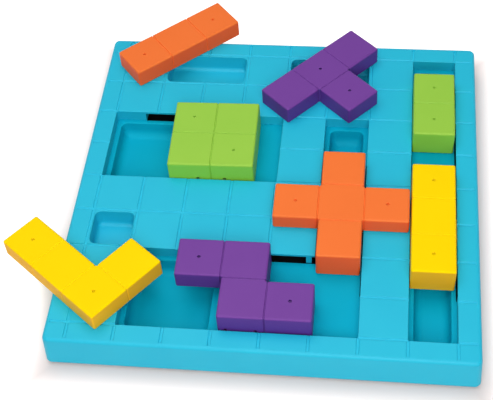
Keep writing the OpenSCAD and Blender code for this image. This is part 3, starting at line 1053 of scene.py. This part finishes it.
@dataclass
class Tray:
    """The hollow tray: deck, well moulding, base cover, feet and screws.

    Lengths are in mm. Recesses, wells and pockets are rectangles of squares, given
    by their low and high corners, and a slot by its wall and its tabs' first and
    last middles.
    """

    effects: Effects
    edge_r: float = 2.6
    foot_r: float = 1.6
    lean: float = 1.4
    corner_r: float = 4.5
    skin: float = 2.0
    wall: float = 2.0
    ledge_depth: float = 9.5
    well_depth: float = 22.0
    well_inset: float = 4.0
    well_fillet: float = 6.5
    well_lip: float = 1.0
    well_draft: float = 0.6
    well_foot: float = 4.0
    pocket_depth: float = 14.5
    pocket_inset: float = 1.8
    pocket_fillet: float = 3.5
    pocket_draft: float = 0.4
    pocket_foot: float = 3.0
    well_r: float = 5.0
    recess_r: float = 1.0
    rim_r: float = 0.5
    groove_w: float = 2.6
    groove_d: float = 0.8
    groove_end: float = 0.2
    tab_l: float = 21.0
    drop_w: float = 9.0
    drop_in: float = 0.6
    drop_r: float = 0.4
    boss_r: float = 4.0
    hole_r: float = 1.5
    hole_d: float = 13.0
    cover_t: float = 2.5
    cover_edge: float = 0.6
    screw_edge: float = 0.15
    seat: float = 0.1
    gap: float = 0.5
    recesses: tuple[tuple[Square, ...], ...] = field(init=False)
    wells: tuple[tuple[int, int, int, int], ...] = (
        (0, 4, 2, 6), (1, 0, 3, 2), (5, 4, 6, 6), (7, 0, 8, 2), (7, 6, 8, 8))
    pockets: tuple[tuple[int, int, int, int], ...] = (
        (1, 7, 3, 8), (4, 7, 6, 8), (0, 2, 1, 3))
    across_slots: tuple[tuple[float, float, float], ...] = (
        (4, 1, 3), (6, 1, 3), (0, 2.5, 4.5), (2, 2.5, 4.5))
    along_slots: tuple[tuple[float, float, float], ...] = (
        (5, 1.5, 4.5), (6, 1.5, 4.5), (7, 1.5, 7), (8, 1.5, 7))
    screws: tuple[Point, ...] = (
        (0.5, 0.5), (0.5, 3.5), (0.4, 7.5), (3.5, 7.5), (6.5, 7.5),
        (6.5, 4), (6.5, 0.5), (3, 3), (4.5, 4.5))
    corner_feet: tuple[str, ...] = ("front_left", "front_right", "back_left", "back_right")

    def __post_init__(self) -> None:
        """Reads the tray's size from the frame and lists its recesses."""
        low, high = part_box("deck")
        self.half = high.x / MM
        self.top = high.z / MM
        self.foot = low.z / MM
        self.ledge = self.top - self.ledge_depth
        left = tuple((x, y) for x in range(4) for y in (4, 5))
        front = tuple((x, y) for x in range(1, 6) for y in (0, 1))
        middle = tuple((5, y) for y in range(2, 6))
        right = tuple((7, y) for y in range(8))
        self.recesses = (left, front + middle, right)

    def rectangle(self, squares: Sequence[float]) -> Outline:
        """The outline of a rectangle of squares."""
        x0, y0, x1, y1 = (grid(s) for s in squares)
        return Outline.rectangle((x0, y0), (x1, y1))

    def outer(self) -> Outline:
        """The tray's own outline."""
        return Outline.rectangle((-self.half, -self.half), (self.half, self.half))

    def walls(self, section: Sequence[Point], inset: float, corner_r: float) -> Solid:
        """A body with the tray's outline, whose walls lean out towards the floor.

        Args:
            section: Further inset and height of each ring.
            inset: Inset of the whole body.
            corner_r: Radius of its upright corners.

        Returns:
            The body.
        """
        slope = self.lean / (self.top - self.foot)
        return Solid.loft([self.outer().ring(z, inset + s - slope * (self.top - z),
                                             corner_r - s, SMALLEST_RADIUS)
                           for s, z in section])

    def bosses(self, radius: float, low: float, high: float) -> Solid:
        """A round bar at each of the base's screws."""
        return Solid.group(Solid.turned([(radius, low), (radius, high)], (grid(x), grid(y)))
                           for x, y in self.screws)

    def deck(self) -> bpy.types.Object:
        """The top shell with its recesses, pockets, slots and scored grid.

        Returns:
            The piece.
        """
        under = self.top - self.skin
        shell = self.walls(
            block_section(self.foot, self.top, self.foot_r, self.edge_r), 0, self.corner_r)
        shell.minus(self.walls(
            [(0, self.foot - PAST), (0, under)], self.skin, self.corner_r - self.skin))
        outlines = [Outline.of_squares(r, MIDDLE) for r in self.recesses]
        skirts = [Solid.loft(o.rings(
            [(0, self.ledge + self.seat), (0, under + OVERLAP)],
            -self.wall, self.recess_r + self.wall))
            for o in outlines]
        shell.plus(Solid.group(skirts))
        floor = self.top - self.pocket_depth
        tubs = [Solid.loft(self.rectangle(p).rings(
            block_section(floor - self.wall, under + OVERLAP, self.pocket_foot, SMALLEST_RADIUS),
            self.pocket_inset - self.wall, self.well_r + self.wall))
            for p in self.pockets]
        shell.plus(Solid.group(tubs))
        post_low = self.foot + self.cover_t + self.gap
        shell.plus(self.bosses(self.boss_r, post_low, under + OVERLAP))
        shell.minus(Solid.group(Solid.loft(o.rings(
            cavity_section(self.ledge - PAST, self.top, SMALLEST_RADIUS, self.rim_r),
            0, self.recess_r))
            for o in outlines))
        shell.minus(Solid.group(Solid.loft(self.rectangle(p).rings(
            cavity_section(floor, self.top, self.pocket_fillet, self.rim_r, self.pocket_draft),
            self.pocket_inset, self.well_r))
            for p in self.pockets))
        shell.minus(*self.slots(self.wall + OVERLAP, self.ledge - PAST, under))
        shell.minus(self.bosses(self.hole_r, post_low - PAST, post_low + self.hole_d))
        shell.minus(self.grooves(False), self.grooves(True))
        return shell.piece("deck_moulding")

    def slots(self, reach: float, low: float, high: float) -> list[Solid]:
        """Bars along the walls that the blocks' side tabs run in.

        Args:
            reach: Reach of the bars to each side of the wall.
            low: Height of their underside.
            high: Height of their top.

        Returns:
            The bars across the tray, then those from front to back.
        """
        groups = []
        for along, places in ((False, self.across_slots), (True, self.along_slots)):
            bars = []
            for wall, first, last in places:
                start = (grid(first) - self.tab_l / 2, grid(wall) - reach)
                end = (grid(last) + self.tab_l / 2, grid(wall) + reach)
                if along:
                    start, end = start[::-1], end[::-1]
                bars.append(Solid.box((*start, low), (*end, high)))
            groups.append(Solid.group(bars))
        return groups

    def grooves(self, along: bool) -> Solid:
        """The scored lines in one direction, which stop at the recesses.

        Args:
            along: Whether the lines run from front to back.

        Returns:
            The bars to cut out.
        """
        edge = (self.half - self.edge_r - self.groove_end) / PITCH
        ends = (MIDDLE - edge, MIDDLE + edge)
        open_squares = {s for recess in self.recesses for s in recess}
        bars = []
        for line in range(SQUARES + 1):
            start = None
            for step in range(-1, SQUARES + 2):
                beside = ((line - 1, step), (line, step))
                if not along:
                    beside = tuple(s[::-1] for s in beside)
                blocked = step > SQUARES or any(s in open_squares for s in beside)
                if not blocked and start is None:
                    start = max(step, ends[0])
                if blocked and start is not None:
                    span = ((start, line), (min(step, ends[1]), line))
                    bars.append(self.groove(*(p[::-1] if along else p for p in span)))
                    start = None
        return Solid.group(bars)

    def groove(self, start: Point, end: Point) -> Solid:
        """One scored line with softly rounded lips.

        Args:
            start: Where the line begins, in squares.
            end: Where it ends.

        Returns:
            The bar to cut out.
        """
        side = [(self.groove_w / 2 + out, -self.groove_d * deep) for out, deep in GROOVE_SIDE]
        side.insert(0, (side[0][0], PAST))
        profile = [(-s, h) for s, h in side] + side[::-1]
        return Solid.rail(profile, (grid(start[0]), grid(start[1]), self.top),
                          (grid(end[0]), grid(end[1]), self.top))

    def well_moulding(self) -> bpy.types.Object:
        """The lower moulding: the running ledge and the treat wells.

        Returns:
            The piece.
        """
        low = self.ledge - self.wall
        below, above = low - PAST, self.ledge + PAST
        floor = self.top - self.well_depth
        plate = Solid.loft(self.outer().rings(
            [(0, low), (0, self.ledge)], self.skin + self.gap, self.corner_r - self.skin))
        plate.minus(Solid.group(Solid.loft(self.rectangle(p).rings(
            [(0, below), (0, above)], self.pocket_inset - self.wall - self.gap,
            self.well_r + self.wall)) for p in self.pockets))
        plate.minus(self.bosses(self.boss_r + self.gap, below, above))
        across, along = self.slots(self.drop_w, below, above)
        drops = across.plus(along).minus(Solid.group(Solid.loft(
            Outline.of_squares(r, MIDDLE).rings(
                [(0, below - PAST), (0, above + PAST)], self.drop_in, self.drop_r))
            for r in self.recesses))
        plate.minus(drops)
        plate.plus(Solid.group(Solid.loft(self.rectangle(w).rings(
            block_section(floor - self.wall, self.ledge - OVERLAP, self.well_foot,
                          SMALLEST_RADIUS),
            self.well_inset - self.wall, self.well_r + self.wall)) for w in self.wells))
        plate.minus(Solid.group(Solid.loft(self.rectangle(w).rings(
            cavity_section(floor, self.ledge, self.well_fillet, self.well_lip, self.well_draft),
            self.well_inset, self.well_r)) for w in self.wells))
        return plate.piece("well_moulding")

    def rubber_foot(self, place: str) -> None:
        """Makes a rubber foot with a rounded edge and a shallow dish underneath.

        Args:
            place: Where it stands, as its node's name says.
        """
        name = f"foot_{place}"
        low, high = (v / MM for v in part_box(name))
        centre = ((low.x + high.x) / 2, (low.y + high.y) / 2)
        r = (high.x - low.x) / 2
        profile = [(r - inset, low.z + rise) for inset, rise in FOOT_EDGE] + [(r, high.z)]
        foot = Solid.turned(profile, centre, FOOT_SIDES).piece(f"{name}_pad")
        dress(foot, RUBBER, self.effects)
        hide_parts(name)
        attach(foot, "tray")
        log.info("made %s", foot.name)

    def build(self) -> None:
        """Builds and dresses every piece of the tray."""
        # The well moulding's darker blue is painted shade.
        for made, node, finish in ((self.deck(), "deck", TRAY_BLUE),
                                   (self.well_moulding(), "wells", WELL_BLUE_PAINTED_SHADE)):
            dress(made, finish, self.effects)
            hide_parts(node)
            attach(made, "tray")
            log.info("made %s for %s", made.name, node)
        # The charcoal cover paints the shade inside the tray.
        dress_node("base_cover", COVER_CHARCOAL_PAINTED_SHADE, self.effects, self.cover_edge)
        dress_node("base_screws", STEEL, self.effects, self.screw_edge)
        for place in (*self.corner_feet, "centre"):
            self.rubber_foot(place)


# --- the blocks ---


class Seat(Enum):
    """Height of a block's screw bosses over its underside, in mm."""

    SLIM = 2.8
    WIDE = 6.4
    LOOSE = 3.3


@dataclass
class Block:
    """A hollow block of joined squares, with its inner part and screws.

    Lengths are in mm. Squares, dots and posts are places in the block's own
    squares, before it is turned by so many degrees.

    Attributes:
        name: The block's body, and the first part of its nodes' names.
        finish: The finish of its plastic parts.
        seat: How its inner part is held.
        squares: The squares of its top.
        dots: Where its dimples are.
        posts: Where its screw bosses stand.
        turn: How far it is turned, in degrees.
        stem: The squares that reach down into a recess, where some don't.
    """

    name: str
    finish: MouldedPlastic
    seat: Seat
    squares: tuple[Square, ...]
    dots: tuple[Point, ...]
    posts: tuple[Point, ...]
    turn: float = 0.0
    stem: tuple[Square, ...] = ()
    side_gap: float = 1.0
    corner_r: float = 1.5
    top_r: float = 1.6
    foot_r: float = 0.5
    wall: float = 2.0
    roof: float = 2.5
    inner_r: float = 0.8
    hollow_r: float = 1.0
    seam_w: float = 1.3
    seam_d: float = 0.75
    seam_dip: float = 0.08
    seam_bed: float = 0.25
    seam_lip: float = 1.6
    seam_rise: float = 0.35
    dot_r: float = 1.2
    post_r: float = 4.0
    hole_r: float = 1.5
    hole_d: float = 10.5
    tab_l: float = 20.6
    tab_gap: float = 0.3
    notch_w: float = 2.4
    notch_rise: float = 0.8
    arm_gap: float = 0.35
    stem_trim: float = 0.03
    stem_drop: float = 0.05
    inner_edge: float = 0.4
    screw_edge: float = 0.15

    def __post_init__(self) -> None:
        """Reads the block's place and height from the frame."""
        low, high = (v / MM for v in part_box(f"{self.name}_cap"))
        self.low = low.z
        self.high = high.z
        self.deck_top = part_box("deck")[1].z / MM
        self.notch_top = self.deck_top + self.notch_rise
        self.centre = ((low.x + high.x) / 2, (low.y + high.y) / 2)

    def place(self) -> Matrix:
        """The matrix from the block's own squares to its place on the tray.

        Returns:
            The matrix, in mm.
        """
        turn = Matrix.Rotation(math.radians(self.turn), 4, "Z")
        corners = [turn @ Vector((*c, 0)) for c in Outline.of_squares(self.squares).corners]
        middle = [(min(c[i] for c in corners) + max(c[i] for c in corners)) / 2
                  for i in (0, 1)]
        shift = Vector((self.centre[0] - middle[0], self.centre[1] - middle[1], 0))
        return Matrix.Translation(shift) @ turn

    def seams(self) -> list[tuple[Point, Point]]:
        """The joins between the block's squares, from end to end.

        Returns:
            The two ends of each join, in squares.
        """
        filled = set(self.squares)
        pieces = [((x + 1, y), (x + 1, y + 1)) for x, y in filled if (x + 1, y) in filled]
        pieces += [((x, y + 1), (x + 1, y + 1)) for x, y in filled if (x, y + 1) in filled]
        pieces.sort()
        runs: list[tuple[Point, Point]] = []
        for start, end in pieces:
            along = (end[0] - start[0], end[1] - start[1])
            for i, (first, last) in enumerate(runs):
                same = (last[0] - first[0] > 0) == (along[0] > 0)
                if last == start and same:
                    runs[i] = (first, end)
                    break
            else:
                runs.append((start, end))
        return runs

    def seam(self, start: Point, end: Point, low: float) -> Solid:
        """The groove of one join, over the top and down both sides.

        Args:
            start: Where the join begins, in squares.
            end: Where it ends.
            low: Height at which the groove leaves the block's sides.

        Returns:
            The bar to cut out.
        """
        along = Vector((end[0] - start[0], end[1] - start[1], 0)).normalized()
        across = Vector((along.y, -along.x, 0))
        first = Vector((*start, 0)) * PITCH + along * self.side_gap
        length = (Vector((*end, 0)) * PITCH - along * self.side_gap - first).length
        angles = [math.pi / 2 * k / ROUND_STEPS for k in range(ROUND_STEPS + 1)]
        r = self.top_r
        rise = [(r * (1 - math.cos(t)), self.high - r + r * math.sin(t), -math.cos(t),
                 math.sin(t)) for t in angles]
        fall = [(length - s, z, -n, m) for s, z, n, m in reversed(rise)]
        route = [(0.0, low - PAST, -1.0, 0.0), *rise, *fall, (length, low - PAST, 1.0, 0.0)]
        half = self.seam_w / 2
        side = [(half * self.seam_lip, self.seam_rise), (half, -self.seam_dip),
                (half * self.seam_bed, -self.seam_d)]
        section = [(-a, h) for a, h in side] + side[::-1]
        rings = []
        for s, z, n, m in route:
            at = first + along * s + Vector((0, 0, z))
            out = along * n + Vector((0, 0, m))
            rings.append([tuple(at + across * a + out * h) for a, h in section])
        return Solid.loft(rings).outwards()

    def dot(self, place: Point) -> Solid:
        """The small dimple that the mould leaves in a square."""
        profile = [(self.dot_r * share, self.high + rise) for share, rise in DIMPLE]
        return Solid.turned(profile, (place[0] * PITCH, place[1] * PITCH), HOLE_SIDES)

    def shell(self, squares: tuple[Square, ...], low: float, trim: float = 0.0) -> Solid:
        """The outside of some of the block's squares.

        Args:
            squares: The squares.
            low: Height of the underside.
            trim: How far the sides are drawn in under another shell's roof.

        Returns:
            The solid.
        """
        outline = Outline.of_squares(squares)
        section = block_section(low, self.high, self.foot_r, self.top_r)
        if trim:
            section = block_section(low, self.high - self.roof, self.foot_r, SMALLEST_RADIUS)
        return Solid.loft(outline.rings(section, self.side_gap + trim, self.corner_r))

    def hollow(self, squares: tuple[Square, ...], low: float, drop: float = 0.0) -> Solid:
        """The space inside some of the block's squares.

        Args:
            squares: The squares.
            low: Height of the underside.
            drop: How far the space stops short of the roof.

        Returns:
            The solid to cut out.
        """
        outline = Outline.of_squares(squares)
        edge = self.high - self.roof - drop - self.inner_r
        section = [(0, low - PAST)]
        section += [(s, edge + h) for s, h in quarter(self.inner_r, INNER_STEPS)]
        return Solid.loft(outline.rings(section, self.side_gap + self.wall, self.hollow_r))

    def cap(self) -> bpy.types.Object:
        """The block's visible shell.

        Returns:
            The piece.
        """
        low = self.low
        if self.stem:
            arms = self.deck_top + self.arm_gap
            shell = self.shell(self.squares, arms)
            shell.plus(self.shell(self.stem, low, self.stem_trim))
            shell.minus(self.hollow(self.squares, arms),
                        self.hollow(self.stem, low, self.stem_drop))
        else:
            shell = self.shell(self.squares, low)
            shell.minus(self.hollow(self.squares, low))
        post_low = low + self.seat.value
        posts = [(x * PITCH, y * PITCH) for x, y in self.posts]
        shell.plus(Solid.group(Solid.turned(
            [(self.post_r, post_low), (self.post_r, self.high - self.roof + OVERLAP)], p)
            for p in posts))
        shell.minus(Solid.group(Solid.turned(
            [(self.hole_r, post_low - PAST), (self.hole_r, post_low + self.hole_d)], p,
            HOLE_SIDES) for p in posts))
        if self.seat is not Seat.LOOSE:
            shell.minus(*self.tab_gaps())
        shell.minus(*[self.seam(start, end, low) for start, end in self.seams()])
        shell.minus(Solid.group(self.dot(d) for d in self.dots))
        return shell.placed(self.place()).piece(f"{self.name}_shell")

    def tab_gaps(self) -> list[Solid]:
        """The openings through a sliding block's sides for its tabs.

        Returns:
            The bars to cut out: a wide block's tabs also have a relief notch at each end.
        """
        low = self.low - PAST
        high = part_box(f"{self.name}_runner")[1].z / MM + self.tab_gap
        half = self.tab_l / 2
        if self.seat is Seat.SLIM:
            run = self.stem or self.squares
            x = min(s[0] for s in run) * PITCH
            middle = (min(s[1] for s in run) + max(s[1] for s in run) + 1) / 2 * PITCH
            return [Solid.box((x - PAST, middle - half, low),
                              (x + PITCH + PAST, middle + half, high))]
        middle = self.posts[0][0] * PITCH
        bars = []
        for y in (self.side_gap, 2 * PITCH - self.side_gap - self.wall):
            ends = (y - PAST, y + self.wall + PAST)
            bars.append(Solid.box((middle - half, ends[0], low), (middle + half, ends[1], high)))
            for x in (middle - half, middle + half):
                bars.append(Solid.box((x - self.notch_w / 2, ends[0], low),
                                      (x + self.notch_w / 2, ends[1], self.notch_top)))
        return bars

    def build(self, effects: Effects) -> None:
        """Builds and dresses the block's pieces.

        Args:
            effects: The shared shader effects.
        """
        shell = self.cap()
        dress(shell, self.finish, effects)
        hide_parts(f"{self.name}_cap")
        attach(shell, self.name)
        inner = "plate" if self.seat is Seat.LOOSE else "runner"
        dress_node(f"{self.name}_{inner}", self.finish, effects, self.inner_edge)
        dress_node(f"{self.name}_screws", STEEL, effects, self.screw_edge)
        log.info("made %s", shell.name)


BAR_SQUARES = ((0, 0), (0, 1), (0, 2))
STICK_SQUARES = ((0, 0), (1, 0), (2, 0))


def blocks() -> list[Block]:
    """The eight blocks.

    Returns:
        The five that slide, then the three that lift off.
    """
    return [
        Block("green_square", BLOCK_GREEN, Seat.WIDE, ((0, 0), (1, 0), (0, 1), (1, 1)), turn=1.0,
              dots=((0.5, 1.5), (1.5, 0.5)), posts=((1, 0.35), (1, 1.65))),
        Block("purple_step", BLOCK_PURPLE, Seat.WIDE, ((0, 1), (1, 1), (1, 0), (2, 0)),
              stem=((1, 0), (1, 1), (2, 0)), dots=((0.5, 1.5), (2.5, 0.5)),
              posts=((1.5, 0.35), (1.5, 1.65)), dot_r=1.3),
        Block("orange_cross", BLOCK_ORANGE, Seat.SLIM,
              ((1, 0), (1, 1), (1, 2), (0, 1), (2, 1)), stem=((1, 0), (1, 1), (1, 2)),
              dots=((0.5, 1.5), (2.5, 1.5)), posts=((1.5, 0.5), (1.5, 2.5))),
        Block("yellow_bar", BLOCK_YELLOW, Seat.SLIM, BAR_SQUARES,
              dots=((0.5, 0.5), (0.5, 2.5)), posts=((0.5, 0.6), (0.5, 2.4))),
        Block("green_domino", BLOCK_GREEN, Seat.SLIM, ((0, 0), (0, 1)),
              dots=((0.5, 0.5), (0.5, 1.5)), posts=((0.5, 0.35), (0.5, 1.65))),
        Block("orange_stick", BLOCK_ORANGE, Seat.LOOSE, STICK_SQUARES, turn=40.7,
              dots=((0.5, 0.5), (2.5, 0.5)), posts=((0.75, 0.5), (2.25, 0.5))),
        Block("purple_tee", BLOCK_PURPLE, Seat.LOOSE, (*STICK_SQUARES, (1, -1)), turn=46.7,
              dots=((1.5, 0.5), (1.5, -0.5)), posts=((0.75, 0.5), (2.25, 0.5)),
              dot_r=1.3),
        Block("yellow_ell", BLOCK_YELLOW, Seat.LOOSE, (*STICK_SQUARES, (2, 1)), turn=-38.6,
              dots=((0.5, 0.5), (2.5, 0.5)), posts=((0.75, 0.5), (2.5, 1.25)),
              seam_d=0.5),
    ]


# --- the studio ---


@dataclass
class Studio:
    """Camera, soft lamps and a pale floor.

    Lengths are in metres and angles in degrees. Inside the shade's box the camera sees a darker
    floor colour, painted shade that deepens the tray's shadow, and beyond it the floor fades to
    white over a short way.
    """

    picture_width: float = 493.0
    sensor: float = 36.0
    focal_pixels: float = 1166.93
    azimuth: float = 9.911
    elevation: float = 50.693
    roll: float = -5.211
    camera_place: Place = (0.0752, -0.5695, 0.7126)
    nearest: float = 0.01
    lamp_size: float = 1.0
    overhead: float = 8.2
    overhead_place: Place = (-0.20, 0.10, 1.20)
    front: float = 16.5
    front_place: Place = (0.20, -1.10, 1.15)
    zenith: float = 0.14
    horizon: float = 0.4
    haze: float = 2.0
    floor_half: float = 4.0
    floor_roughness: float = 0.9
    floor_colour: Colour = (0.86, 0.84, 0.83)
    # Painted shade: a darker, warmer floor colour that only the camera sees, deepening the tray's
    # shadow.
    seen_floor_painted_shade: Colour = (0.76, 0.67, 0.65)
    floor_glow: float = 0.80
    shade_half: Point = (0.148, 0.154)
    shade_fade: float = 0.036
    far_floor: Point = (0.2, 1.0)

    def camera(self) -> None:
        """Sets up the camera."""
        a, e, r = (math.radians(v) for v in (self.azimuth, self.elevation, self.roll))
        ahead = Vector((-math.sin(a) * math.cos(e), math.cos(a) * math.cos(e), -math.sin(e)))
        level = ahead.cross(Vector((0, 0, 1))).normalized()
        steep = level.cross(ahead)
        right = math.cos(r) * level + math.sin(r) * steep
        up = math.cos(r) * steep - math.sin(r) * level
        data = bpy.data.cameras.new("camera")
        data.sensor_width = self.sensor
        data.lens = self.focal_pixels * self.sensor / self.picture_width
        data.clip_start = self.nearest
        camera = bpy.data.objects.new("camera", data)
        turned = Matrix((right, up, -ahead)).transposed().to_4x4()
        camera.matrix_world = Matrix.Translation(self.camera_place) @ turned
        bpy.context.scene.collection.objects.link(camera)
        bpy.context.scene.camera = camera

    def lamp(self, name: str, place: Place, power: float) -> None:
        """Hangs a square soft lamp that looks at the tray.

        Args:
            name: The lamp's name.
            place: Where it hangs.
            power: Its power in watts.
        """
        data = bpy.data.lights.new(name, "AREA")
        data.size = self.lamp_size
        data.energy = power
        lamp = bpy.data.objects.new(name, data)
        lamp.location = place
        lamp.rotation_mode = "QUATERNION"
        lamp.rotation_quaternion = (-Vector(place)).to_track_quat("-Z", "Y")
        bpy.context.scene.collection.objects.link(lamp)

    def world(self) -> None:
        """Sets a white surround, brightest near the horizon and pure white where seen."""
        world = bpy.data.worlds.new("surround")
        world.use_nodes = True
        bpy.context.scene.world = world
        wires = Wires(world.node_tree)
        path = wires.node("ShaderNodeLightPath")
        seen = path.outputs["Is Camera Ray"]
        for ray in ("Is Glossy Ray", "Is Transmission Ray"):
            seen = wires.maths("MAXIMUM", seen, path.outputs[ray])
        way = wires.node("ShaderNodeSeparateXYZ")
        wires.link(wires.node("ShaderNodeTexCoord").outputs["Generated"], way.inputs[0])
        low = wires.maths("SUBTRACT", 1.0, way.outputs["Z"], clamp=True)
        low = wires.maths("POWER", low, self.haze)
        light = wires.maths("MULTIPLY_ADD", low, self.horizon, self.zenith)
        unseen = wires.maths("MULTIPLY", light, wires.maths("SUBTRACT", 1.0, seen))
        strength = wires.maths("ADD", unseen, seen)
        background = world.node_tree.nodes["Background"]
        background.inputs["Color"].default_value = (1, 1, 1, 1)
        wires.link(strength, background.inputs["Strength"])

    def floor(self) -> None:
        """Lays a white floor that keeps the tray's soft shadow, deepened by a painted darker
        colour that only the camera sees, and pure white beyond it.
        """
        shape = bmesh.new()
        bmesh.ops.create_grid(shape, x_segments=1, y_segments=1, size=self.floor_half)
        mesh = bpy.data.meshes.new("floor")
        shape.to_mesh(mesh)
        shape.free()
        floor = bpy.data.objects.new("floor", mesh)
        bpy.context.scene.collection.objects.link(floor)
        material = bpy.data.materials.new("white_floor")
        material.use_nodes = True
        wires = Wires(material.node_tree)
        shader = material.node_tree.nodes["Principled BSDF"]
        shader.inputs["Roughness"].default_value = self.floor_roughness
        shader.inputs["Specular IOR Level"].default_value = 0.0
        shader.inputs["Emission Color"].default_value = (1, 1, 1, 1)
        place = wires.node("ShaderNodeSeparateXYZ")
        wires.link(wires.node("ShaderNodeTexCoord").outputs["Object"], place.inputs[0])
        beyond = wires.maths("MAXIMUM", *(
            wires.maths("SUBTRACT", wires.maths("ABSOLUTE", place.outputs[axis]), half)
            for axis, half in zip("XY", self.shade_half)))
        seen = wires.node("ShaderNodeLightPath").outputs["Is Camera Ray"]
        # Painted shade: camera rays see the darker floor colour, which deepens the shadow round
        # the tray and takes the blue out of it.
        wires.link(wires.blend(seen, self.floor_colour, self.seen_floor_painted_shade),
                   shader.inputs["Base Color"])
        near = wires.maths("MULTIPLY", wires.ramp(beyond, 0.0, self.shade_fade), self.floor_glow)
        glow = wires.maths("MULTIPLY_ADD", wires.ramp(beyond, *self.far_floor),
                           1 - self.floor_glow, near)
        wires.link(wires.maths("MULTIPLY", seen, glow), shader.inputs["Emission Strength"])
        mesh.materials.append(material)

    def build(self) -> None:
        """Sets up camera, lamps, surround and floor."""
        self.camera()
        self.lamp("overhead_softbox", self.overhead_place, self.overhead)
        self.lamp("front_softbox", self.front_place, self.front)
        self.world()
        self.floor()
        bpy.context.scene.view_settings.view_transform = "Standard"
        log.info("studio ready")


def main() -> None:
    """Builds the studio, the tray and the blocks in order."""
    logging.basicConfig(level=logging.INFO, format="%(message)s")
    effects = Effects()
    Studio().build()
    Tray(effects).build()
    for block in blocks():
        block.build(effects)


if __name__ == "__main__":
    main()
